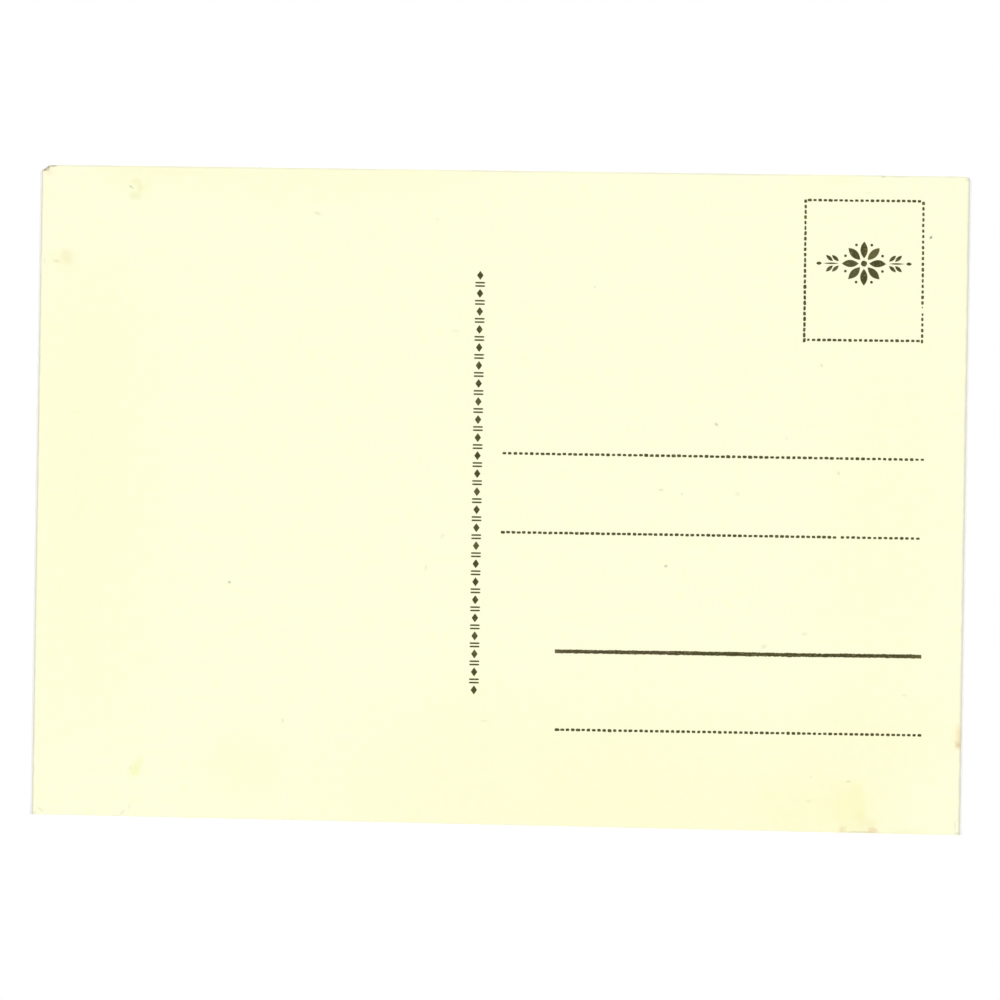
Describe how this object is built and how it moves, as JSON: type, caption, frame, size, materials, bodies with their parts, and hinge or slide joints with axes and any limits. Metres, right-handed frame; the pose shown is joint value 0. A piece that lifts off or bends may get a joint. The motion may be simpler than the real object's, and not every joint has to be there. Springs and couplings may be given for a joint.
{
  "type": "postcard",
  "caption": "Flat picture postcard of photographic paper, address side up, with a dashed stamp box, dotted and plain address lines and an ornamental divider.",
  "frame": {"origin": "middle of the sheet on the face of the picture side, which lies down", "axes": "+X along the lines of print to the right of the address side, +Y to its top, +Z out of the address side"},
  "size_m": [0.148, 0.105, 0.0003],
  "materials": {
    "emulsion": "gloss",
    "baryta": "matte",
    "paper": "matte",
    "ink": "matte"
  },
  "bodies": {
    "root": {"emulsion_layer": "emulsion", "baryta_coat": "baryta", "paper_base": "paper", "stamp_frame_top": "ink", "stamp_frame_bottom": "ink", "stamp_frame_left": "ink", "stamp_frame_right": "ink", "address_line_1": "ink", "address_line_2": "ink", "address_line_3": "ink", "address_line_4": "ink", "divider_ornament": "ink", "stamp_ornament": "ink"}
  },
  "joints": []
}
